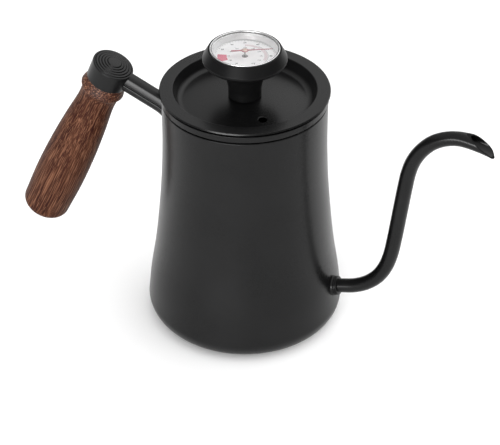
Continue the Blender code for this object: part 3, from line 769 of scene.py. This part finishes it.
def make_grip(wood, end_grain):
    """Turned wood on a long bolt: the shoulder under the boss shows end grain."""
    end_r, end_z = GRIP_WAIST[-1]
    flat_r = COUNTERBORE_R + 0.8
    shoulder = [(BOLT_HOLE_R, GRIP_TOP), (8.9, GRIP_TOP)] + smooth_curve(GRIP_SHOULDER, 4)
    neck = smooth_curve(GRIP_NECK + GRIP_WAIST, 8)
    tail = arc((flat_r, end_z), (end_r - flat_r, end_z - GRIP_END), 0, -90, 14)[1:]
    bore = rounded([(COUNTERBORE_R, GRIP_END, 0.4), (COUNTERBORE_R, COUNTERBORE_Z),
                    (BOLT_HOLE_R, COUNTERBORE_Z), (BOLT_HOLE_R, GRIP_END)], 4)[:-1]
    outline = neck + tail + bore + shoulder
    bm = lathe_mesh(outline, FINE, split=len(neck) + len(tail) + len(bore))
    add_piece("wooden_grip", bm, "kettle", "grip", [wood, end_grain], handle_matrix())


def make_grip_bolt(material):
    washer_top = COUNTERBORE_Z - GAP
    washer_r, washer_foot = COUNTERBORE_R - 0.4, washer_top - WASHER_T
    washer = rounded([(BOLT_HOLE_R, washer_top, 0.1), (washer_r, washer_top, 0.2),
                      (washer_r, washer_foot, 0.2), (BOLT_HOLE_R, washer_foot, 0.1)], 3)
    turn_piece("bolt_washer", washer, "kettle", "grip_washer", material, SMALL,
               handle_matrix())
    head_top = washer_foot - GAP
    head_end = head_top - BOLT_HEAD
    socket_end = head_end + BOLT_SOCKET
    apothem, socket_r, tip = 2.0, 2.2, -3.3

    def hexagonal(angle, r, z):
        in_socket = z <= socket_end + 0.1 and 0.1 <= r <= 3.0
        return hexagon_reach(angle, apothem) if in_socket else r

    socket = [(socket_r, head_end), (socket_r, socket_end), (0.0, socket_end)]
    bolt = [(0.0, tip), (BOLT_R - 0.3, tip), (BOLT_R, tip - 0.4), (BOLT_R, head_top),
            (BOLT_HEAD_R - 0.2, head_top), (BOLT_HEAD_R, head_top - 0.2),
            (BOLT_HEAD_R, head_end + 0.5), (BOLT_HEAD_R - 0.5, head_end)]
    add_piece("cap_screw", lathe_mesh(bolt + socket, MEDIUM, shape=hexagonal), "kettle",
              "grip_bolt", [material], handle_matrix())


# ---------------- lid and knob

def make_lid_pan(coat, under_steel):
    """A pressed dish: flat flange, steep wall and gently domed floor, coated on top only."""
    floor, arc_steps = smooth_curve(DISH_FLOOR, 6), 8
    top = floor + [(DISH_FLOOR_R, DISH_EDGE_Z, 2.9), (DISH_R, LID_TOP, 0.5),
                   (LID_R - 0.31, LID_TOP, 0.12), (LID_R, LID_EDGE, 0.05)]
    under = [(DISH_R + LID_SHEET, LID_EDGE, 0.4),
             (DISH_FLOOR_R + LID_SHEET, DISH_EDGE_Z - LID_SHEET, 2.2)]
    under += [(r, z - LID_SHEET) for r, z in reversed(floor)]
    coated = len(floor) + (len(top) - len(floor)) * (arc_steps + 1)
    bm = lathe_mesh(rounded(top + under, arc_steps), FINE, split=coated)
    pan = add_piece("lid_dish", bm, "lid", "lid_pan", [coat, under_steel])
    lean = (Matrix.Rotation(math.atan2(VENT_Y, VENT_X), 4, "Z")
            @ Matrix.Rotation(math.atan(VENT_SLOPE), 4, "Y"))
    bore, reach = VENT_R - 0.35, 5
    carve(pan, [(0, -reach), (bore, -reach), (bore, -0.25), (VENT_R, 0.05), (VENT_R, reach),
                (0, reach)],
          at(VENT_X, VENT_Z, 0.0, VENT_Y) @ lean)


def make_skirt(material):
    outer = SKIRT_LIP_R - 0.7
    inner = outer - 0.6
    outline = rounded([(outer, SKIRT_TOP, 0.1), (inner, SKIRT_TOP, 0.1), (inner, SKIRT_FOOT, 0.25),
                       (SKIRT_LIP_R, SKIRT_FOOT, 0.35), (SKIRT_LIP_R, SKIRT_FOOT + 0.8, 0.35),
                       (outer, SKIRT_FOOT + 1.4, 0.5)], 4)
    turn_piece("lid_rim_skirt", outline, "lid", "lid_skirt", material)


def make_seal(material):
    inner = SKIRT_LIP_R - 0.4
    root = inner + 0.55
    middle = (SEAL_FOOT + SEAL_TOP) / 2
    outline = rounded([(inner, SEAL_FOOT, 0.1), (root, SEAL_FOOT, 0.15),
                       (SEAL_R, SEAL_FOOT + 1.2, 0.25), (root, middle, 0.2),
                       (SEAL_R, middle + 1.2, 0.25), (root, SEAL_TOP, 0.15),
                       (inner, SEAL_TOP, 0.1)], 4)
    turn_piece("lid_gasket", outline, "lid", "lid_seal", material)


def make_knob(plastic):
    """A flared cup on a stem: the dial sits in the cup, and a thin ring runs round its waist."""
    stem = [(KNOB_BORE_R, KNOB_FOOT), (KNOB_UNDERSIDE[0][0], KNOB_FOOT, 0.35)]
    outline = rounded(stem + smooth_curve(KNOB_UNDERSIDE, 6)
                      + [(KNOB_R, KNOB_RING_FOOT, 0.45), (KNOB_R, KNOB_RING_TOP, 0.6),
                         (KNOB_LIP_R, KNOB_TOP, 0.2), (KNOB_CUP_R, KNOB_TOP, 0.12),
                         (KNOB_CUP_R, KNOB_CUP_Z), (KNOB_BORE_R, KNOB_CUP_Z)], 8)
    turn_piece("lid_knob", outline, "lid", "knob", plastic)


def make_knob_fixings(rubber, metal):
    washer = rounded([(KNOB_BORE_R, WASHER_TOP, 0.1), (WASHER_R, WASHER_TOP, 0.3),
                      (WASHER_R, WASHER_FOOT, 0.3), (KNOB_BORE_R, WASHER_FOOT, 0.1)], 4)
    turn_piece("knob_seal_washer", washer, "lid", "knob_washer", rubber, MEDIUM)
    apothem = NUT_R * math.cos(math.pi / 6)

    def hexagonal(angle, r, _):
        in_bore = r < 4.0
        return r if in_bore else min(r, hexagon_reach(angle, apothem))

    chamfer = 0.45
    nut = [(KNOB_BORE_R, NUT_TOP), (apothem, NUT_TOP), (NUT_R, NUT_TOP - chamfer),
           (NUT_R, NUT_FOOT + chamfer), (apothem, NUT_FOOT), (KNOB_BORE_R + 0.3, NUT_FOOT),
           (KNOB_BORE_R, NUT_FOOT + 0.3)]
    add_piece("hex_nut", lathe_mesh(nut, MEDIUM, shape=hexagonal), "lid", "knob_nut",
              [metal])


# ---------------- thermometer

def make_case(metal):
    under, inside = KNOB_CUP_Z + GAP, KNOB_CUP_Z + GAP + 0.5
    ledge = DIAL_FOOT - GAP
    outline = rounded([(STUB_BORE_R, inside), (CASE_LEDGE_R, inside), (CASE_LEDGE_R, ledge),
                       (CASE_BORE_R, ledge), (CASE_BORE_R, CASE_TOP), (CASE_R, CASE_TOP, 0.1),
                       (CASE_R, under, 0.4), (STUB_R, under), (STUB_R, CASE_FOOT, 0.2),
                       (STUB_BORE_R, CASE_FOOT)], 4)
    turn_piece("gauge_case", outline, "lid", "thermometer_case", metal, MEDIUM)


def make_bezel(chrome):
    outline = rounded([(CASE_R, BEZEL_FOOT), (CASE_R, BEZEL_TOP, 0.24),
                       (CASE_BORE_R, BEZEL_TOP, 0.24), (CASE_BORE_R, BEZEL_FOOT)])
    turn_piece("gauge_bezel", outline, "lid", "bezel_ring", chrome)


def make_spacer(satin):
    """The sloped silver ring between the dial and the glass."""
    outline = rounded([(REFLECTOR_FOOT_R, SPACER_FOOT, 0.06), (REFLECTOR_TOP_R, SPACER_TOP, 0.08),
                       (SPACER_R, SPACER_TOP), (SPACER_R, SPACER_FOOT)], 3)
    turn_piece("gauge_reflector", outline, "lid", "spacer_ring", satin)


def make_dial(white):
    outline = rounded([(DIAL_HOLE_R, DIAL_TOP, 0.08), (DIAL_HOLE_R, DIAL_FOOT),
                       (DIAL_R, DIAL_FOOT, 0.1), (DIAL_R, DIAL_TOP, 0.1)], 3)
    turn_piece("gauge_face", outline, "lid", "dial_plate", white)


def make_lens(glass):
    outline = rounded([(0, LENS_FOOT), (LENS_R, LENS_FOOT, 0.1), (LENS_R, LENS_TOP, 0.15),
                       (0, LENS_TOP)], 3)
    turn_piece("gauge_glass", outline, "lid", "dial_lens", glass)


def azimuth(celsius):
    """Where a temperature stands on the scale, in radians from +X."""
    return math.radians(SCALE_START + DEGREES_PER_DEGREE * celsius)


def add_patch(bm, inner, outer, start, end):
    """A thin raised sector between two radii and two angles (radians), printed on the dial."""
    steps = max(1, int(abs(end - start) / math.radians(3)))
    bottom = DIAL_TOP + PRINT_LIFT
    corners = []
    for k in range(steps + 1):
        a = start + (end - start) * k / steps
        corners.append([bm.verts.new(Vector((r * math.cos(a), r * math.sin(a), z)) * MM)
                        for r in (inner, outer) for z in (bottom, bottom + PRINT_T)])
    for a, b in zip(corners, corners[1:]):
        for i, j in ((0, 1), (1, 3), (3, 2), (2, 0)):
            bm.faces.new((a[i], a[j], b[j], b[i]))
    for end_face in (corners[0], corners[-1]):
        bm.faces.new((end_face[0], end_face[1], end_face[3], end_face[2]))


def make_scale(ink, red, pink, grey):
    """The ticks of both scales and the coloured bands, each as a raised print."""
    ticks = bmesh.new()
    for celsius in range(0, 101, 2):
        long = celsius % 10 == 0
        inner = LONG_TICK_R if long else SHORT_TICK_R
        half = math.radians(0.42 if long else 0.26)
        add_patch(ticks, inner, TICK_OUTER_R, azimuth(celsius) - half, azimuth(celsius) + half)
    half = 0.01
    for celsius in range(0, 101, 10):
        add_patch(ticks, INNER_TICK_R, INNER_TICK_END_R, azimuth(celsius) - half,
                  azimuth(celsius) + half)
    add_patch(ticks, DIAL_HOLE_R + 0.05, 1.3, 0.0, 2 * math.pi)
    add_piece("scale_ticks", ticks, "lid", None, [ink])
    # name, slot, finish, radii and temperatures of its two ends
    bands = (("scale_red_zone", "needle_red", red, (8.1, 12.2), (22.4, 12.2)),
             ("scale_brew_band", "needle_red", pink, (8.7, 10.1), (50, 88)),
             ("scale_grey_line", "dial_white", grey, (10.25, 10.5), (62, 96)))
    for name, slot, finish, radii, ends in bands:
        band = bmesh.new()
        add_patch(band, *radii, *(azimuth(end) for end in ends))
        add_piece(name, band, "lid", None, [finish])


def make_numerals(ink):
    """Plain numbers on both scales, upright for a reader on the camera's side."""
    upright = Matrix.Rotation(math.radians(VIEW_AZIMUTH), 4, "Z")
    for scale, radius, size in (("celsius", CELSIUS_R, CELSIUS_SIZE),
                                ("fahrenheit", FAHRENHEIT_R, FAHRENHEIT_SIZE)):
        for celsius in range(0, 101, 10):
            value = celsius if scale == "celsius" else round(celsius * 1.8 + 32)
            curve = bpy.data.curves.new(f"numeral_{scale}_{value}", "FONT")
            curve.body = str(value)
            curve.size = size * MM
            curve.align_x = curve.align_y = "CENTER"
            curve.extrude = PRINT_T / 2 * MM
            curve.offset = NUMERAL_WEIGHT * MM
            a = azimuth(celsius)
            middle = DIAL_TOP + PRINT_LIFT + PRINT_T / 2
            place = Vector((radius * math.cos(a), radius * math.sin(a), middle)) * MM
            writer = add_object(curve.name, curve)
            bpy.context.view_layer.update()
            solid = bpy.data.meshes.new_from_object(writer)
            bpy.data.objects.remove(writer)
            solid.materials.clear()
            solid.materials.append(ink)
            numeral = add_object(curve.name, solid)
            numeral.matrix_world = Matrix.Translation(place) @ upright
            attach(numeral, "lid")


def make_pointer(red, brass, metal):
    """A tapered red blade with a broad tail on a small turned hub."""
    turn = Matrix.Rotation(math.radians(NEEDLE_AZIMUTH), 4, "Z")
    outline = [(-NEEDLE_TAIL, -0.48), (-NEEDLE_TAIL + 0.4, -0.60), (-2.2, -0.42), (-1.5, -0.5)]
    outline += [(x, -y) for x, y in arc((0, 0), (1.6, 1.6), 160, 20, 14)]
    outline += [(2.4, -0.34), (NEEDLE_LENGTH - 0.4, -0.12), (NEEDLE_LENGTH, 0.0)]
    upper = [(x, -y) for x, y in reversed(outline[:-1])]
    plan = outline + upper
    levels = [(NEEDLE_Z - 0.2, 1.0), (NEEDLE_Z - 0.06, 1.0), (NEEDLE_Z, 0.9)]
    rings = [[(x, y * w, z) for x, y in plan] for z, w in levels]
    add_piece("needle_blade", skin_mesh(rings), "pointer", "needle", [red], turn)
    hub = rounded([(0, HUB_FOOT), (1.0, HUB_FOOT, 0.1), (HUB_R - 0.1, HUB_FOOT + 0.3, 0.1),
                   (HUB_R - 0.1, HUB_TOP, 0.25), (0.45, HUB_TOP, 0.05), (0.4, HUB_TOP - 0.15),
                   (0, HUB_TOP - 0.15)], 5)
    turn_piece("pointer_hub", hub, "pointer", "needle_hub", brass, SMALL)
    shaft = rounded([(0, SHAFT_FOOT), (SHAFT_R, SHAFT_FOOT, 0.1), (SHAFT_R, HUB_FOOT - 0.02),
                     (0, HUB_FOOT - 0.02)], 3)
    turn_piece("pointer_shaft", shaft, "pointer", "needle_shaft", metal, TINY)


def make_probe(metal):
    bore, outer, flange = 1.8, 2.2, 0.3
    outline = rounded([(bore, PROBE_TOP), (bore, PROBE_FOOT + 1.0), (0.0, PROBE_FOOT + 1.0),
                       (0.0, PROBE_FOOT), (outer, PROBE_FOOT, 1.2), (outer, PROBE_TOP - flange),
                       (PROBE_COLLAR_R, PROBE_TOP - flange, 0.08),
                       (PROBE_COLLAR_R, PROBE_TOP, 0.08)], 8)
    turn_piece("gauge_probe", outline, "lid", "probe_tube", metal, SMALL)


def finish_coil():
    """The bimetal coil keeps its CAD shape and gets a two-metal strip finish."""
    m = Recipe("bimetal_strip", (0.62, 0.46, 0.27), 0.35, 1.0)
    lines = m.noise(1.0, 2.0, 0.6, m.scaled((4000.0, 4000.0, 400.0)))
    m.drive("Base Color", m.mix(m.span(lines, 0.0, 1.0), (0.50, 0.36, 0.20), (0.72, 0.58, 0.38)))
    m.drive("Roughness", m.span(lines, 0.28, 0.45))
    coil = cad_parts["bimetal_coil"]
    coil.data.materials.clear()
    coil.data.materials.append(m.material)


# ---------------- studio

def view_direction(azimuth_degrees, elevation_degrees):
    """Unit vector from the kettle towards a viewer; azimuth 0 is -Y, and 90 is +X."""
    a, e = math.radians(azimuth_degrees), math.radians(elevation_degrees)
    return Vector((math.sin(a) * math.cos(e), -math.cos(a) * math.cos(e), math.sin(e)))


def aim(obj, height, back, distance):
    """Put obj at a distance in metres from a point of the axis, looking back at it."""
    obj.location = Vector((0, 0, height)) + back * distance
    obj.rotation_mode = "QUATERNION"
    obj.rotation_quaternion = (-back).to_track_quat("-Z", "Y")


def make_camera():
    data = bpy.data.cameras.new("camera")
    data.lens = LENS_MM
    data.shift_x = SHIFT_X
    camera = add_object("camera", data)
    aim(camera, VIEW_AIM_Z * MM, view_direction(VIEW_AZIMUTH, VIEW_ELEVATION), VIEW_DISTANCE * MM)
    bpy.context.scene.camera = camera


def make_floor():
    m = Recipe("pale_floor", (0.96, 0.96, 0.96), 0.6)
    clouds = m.noise(6.0, 3.0)
    m.drive("Base Color", m.mix(m.span(clouds, 0.0, 1.0), (0.95, 0.95, 0.95), (0.97, 0.97, 0.97)))
    m.set("Specular IOR Level", 0.1)
    half = FLOOR_HALF_M
    mesh = bpy.data.meshes.new("floor")
    mesh.from_pydata([(-half, -half, 0), (half, -half, 0), (half, half, 0), (-half, half, 0)],
                     [], [(0, 1, 2, 3)])
    mesh.materials.append(m.material)
    floor = add_object("floor", mesh)
    floor.location.z = FLOOR_Z_M


def make_area_light(name, azimuth_degrees, elevation_degrees, distance, size, power):
    data = bpy.data.lights.new(name, "AREA")
    data.shape = "RECTANGLE"
    data.size, data.size_y = size
    data.energy = power
    aim(add_object(name, data), LIGHT_AIM_Z_M,
        view_direction(azimuth_degrees, elevation_degrees), distance)


def make_world():
    """A white room: brightest overhead and to the right, dark low down on the near side."""
    world = bpy.data.worlds.new("studio")
    world.use_nodes = True
    room = Nodes(world.node_tree, "Generated")
    background = room.nodes["Background"]
    background.inputs["Color"].default_value = (1.0, 1.0, 1.0, 1.0)

    def share(direction, start, end, low, high):
        """A value that runs from low to high as a ray turns towards a direction."""
        dot = room.add("VectorMath", {0: room.place, 1: direction}, "Value",
                       operation="DOT_PRODUCT")
        return room.span(dot, low, high, start, end, "SMOOTHSTEP")

    up = (0.0, 0.0, 1.0)
    right, near = view_direction(VIEW_AZIMUTH + 90.0, 0.0), view_direction(VIEW_AZIMUTH, 0.0)
    white = room.math("MULTIPLY", share(up, 0.30, 0.64, *SKY_RISE),
                      share(right, -0.4, 0.6, *SKY_LEFT_RIGHT))
    low_near = room.math("MULTIPLY", share(near, -0.85, -0.2, 0.0, 1.0),
                         share(up, 0.38, 0.62, 1.0, 0.0))
    dark = room.span(low_near, *SKY_DARK_SIDE, 0.0, 1.0)
    room.links.new(room.math("MULTIPLY", white, dark), background.inputs["Strength"])
    bpy.context.scene.world = world


def make_studio():
    make_camera()
    make_floor()
    make_world()
    make_area_light("front", azimuth_degrees=VIEW_AZIMUTH - 23.0, elevation_degrees=11.0,
                    distance=4.0, size=(2.70, 0.73), power=185.0)
    bpy.context.scene.view_settings.view_transform = "Standard"


def main():
    coat = powder_coat("matte_black_coat", shade=0.0038, roughness=0.29, gloss=0.185)
    knob_coat = powder_coat("knob_black", shade=0.0038, roughness=0.36, gloss=0.095)
    cut_edge = powder_coat("cut_edge_black", shade=0.0030, roughness=0.45, gloss=0.05)
    brushed = steel("brushed_steel", 0.28)
    drawn = steel("drawn_steel", 0.30, along=True)
    chrome = polished_metal("bright_rim", (0.83, 0.83, 0.83), 0.30)
    satin = polished_metal("satin_reflector", (0.95, 0.95, 0.95), 0.42)
    brass = polished_metal("hub_brass", (0.60, 0.45, 0.38), 0.25)
    rubber = silicone()
    make_body(coat, brushed)
    make_base_plate(brushed)
    make_mouth_ring(coat)
    make_spout(coat, cut_edge)
    make_spout_collar(coat)
    make_boss(coat)
    make_arm(coat)
    make_grip(walnut(), walnut_end_grain())
    make_grip_bolt(brushed)
    make_lid_pan(coat, brushed)
    make_skirt(brushed)
    make_seal(rubber)
    make_knob(knob_coat)
    make_knob_fixings(rubber, brushed)
    make_case(brushed)
    make_bezel(chrome)
    make_spacer(satin)
    make_dial(enamel("dial_enamel", (0.97, 0.965, 0.97)))
    make_lens(clear_glass())
    ink = enamel("scale_ink", (0.035, 0.035, 0.04))
    red = enamel("needle_paint", (0.36, 0.035, 0.065), 0.35)
    make_scale(ink, enamel("zone_red", (0.72, 0.10, 0.19)), enamel("band_pink", (0.76, 0.66, 0.68)),
               enamel("line_grey", (0.50, 0.46, 0.48)))
    make_numerals(ink)
    make_pointer(red, brass, drawn)
    make_probe(drawn)
    finish_coil()
    make_studio()


main()
